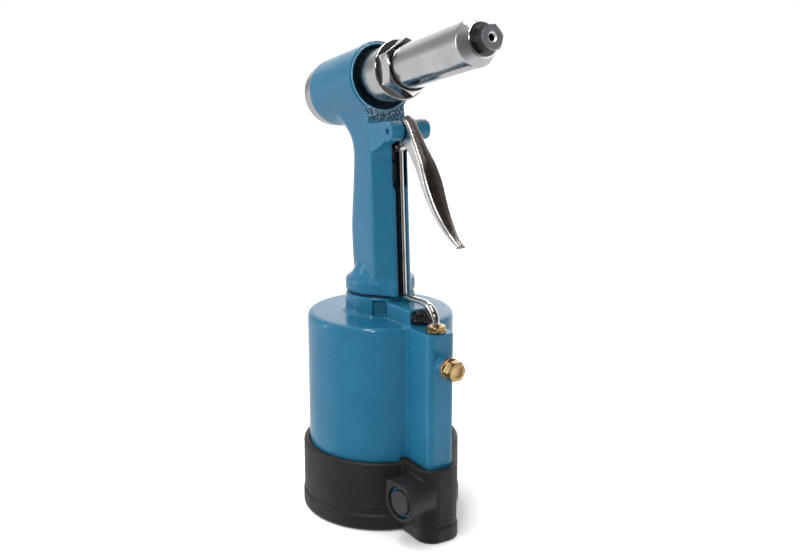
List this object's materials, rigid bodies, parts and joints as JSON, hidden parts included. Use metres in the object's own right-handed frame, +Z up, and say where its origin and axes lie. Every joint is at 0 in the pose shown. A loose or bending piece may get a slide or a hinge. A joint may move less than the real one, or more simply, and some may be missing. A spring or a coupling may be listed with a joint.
{
  "type": "air-hydraulic blind riveter",
  "caption": "Hand-held pneumatic-hydraulic blind rivet gun: air cylinder base in a rubber boot, upright cast handle, tilted pulling head with hex nosepiece, lever trigger and push rod.",
  "frame": {"origin": "on the axis of the air cylinder, in the plane of the boot's foot", "axes": "+Z up along the air cylinder's axis, +X towards the nose, -Y towards the air inlet's side"},
  "size_m": [0.165, 0.0926, 0.2813],
  "materials": {
    "paint": "gloss cast texture",
    "rubber": "matt",
    "chrome": "polished",
    "steel": "ground",
    "nickel": "satin nickel plate",
    "brass": "turned",
    "black": "black oxide",
    "aluminium": "turned",
    "seal": "matt",
    "urethane": "satin",
    "copper": "soft annealed",
    "silver": "satin",
    "plastic": "fine texture"
  },
  "bodies": {
    "tool_body": {"boot": "rubber", "inlet_bush": "brass", "air_cylinder": "paint", "end_cap": "aluminium", "end_cap_seal": "seal", "retaining_ring": "steel", "piston_bumper": "urethane", "neck_nut": "steel", "ram_seal": "urethane", "ram_guide": "brass", "neck_gasket": "seal", "silencer": "plastic", "valve_bush": "brass", "valve_seal": "seal", "valve_seat": "brass", "plug_washer": "copper", "brass_plug": "brass", "handle_casting": "paint", "rear_cap": "silver", "rear_cap_seal": "seal", "mandrel_tube": "steel", "head_sleeve": "chrome", "pull_rod_seal": "urethane", "lock_nut": "chrome", "nose_casing": "chrome", "nosepiece": "black", "trigger_pin": "steel"},
    "valve_linkage": {"push_rod": "chrome", "link_pin": "steel", "valve_crank": "chrome", "valve_stem": "steel", "valve_spring": "steel"},
    "trigger": {"trigger": "nickel"},
    "air_piston": {"air_piston": "aluminium", "air_piston_seal": "seal", "ram": "chrome"},
    "puller": {"head_piston": "aluminium", "head_piston_seal": "urethane", "pull_rod": "steel", "pull_rod_nut": "steel", "jaw_case": "steel", "jaw_pusher": "steel", "pusher_spring": "steel", "jaw_1": "steel", "jaw_2": "steel", "jaw_3": "steel", "return_spring": "steel"},
    "dust_plug": {"dust_plug": "plastic"}
  },
  "joints": [
    {"name": "trigger_pull", "type": "hinge", "parent": "tool_body", "child": "trigger", "pos_m": [0.028, 0, 0.2225], "axis": [0, 1, 0], "range_deg": [0, 24], "stiffness_Nm_per_rad": 0.4, "springref_deg": -5.73},
    {"name": "valve_lift", "type": "slide", "parent": "tool_body", "child": "valve_linkage", "axis": [0, 0, 1], "range_m": [0, 0.003], "deforming": ["valve_spring"]},
    {"name": "ram_stroke", "type": "slide", "parent": "tool_body", "child": "air_piston", "axis": [0, 0, 1], "range_m": [0, 0.06]},
    {"name": "jaw_pull", "type": "slide", "parent": "tool_body", "child": "puller", "axis": [-0.974, 0, -0.2267], "range_m": [0, 0.0161], "deforming": ["return_spring"]},
    {"name": "plug_pull", "type": "slide", "parent": "tool_body", "child": "dust_plug", "axis": [0.1736, -0.9848, 0], "range_m": [0, 0.016]}
  ],
  "couplings": [
    {"joint": "valve_lift", "follows": "trigger_pull", "m_per_rad": 0.006923},
    {"joint": "jaw_pull", "follows": "ram_stroke", "ratio": 0.26667}
  ]
}
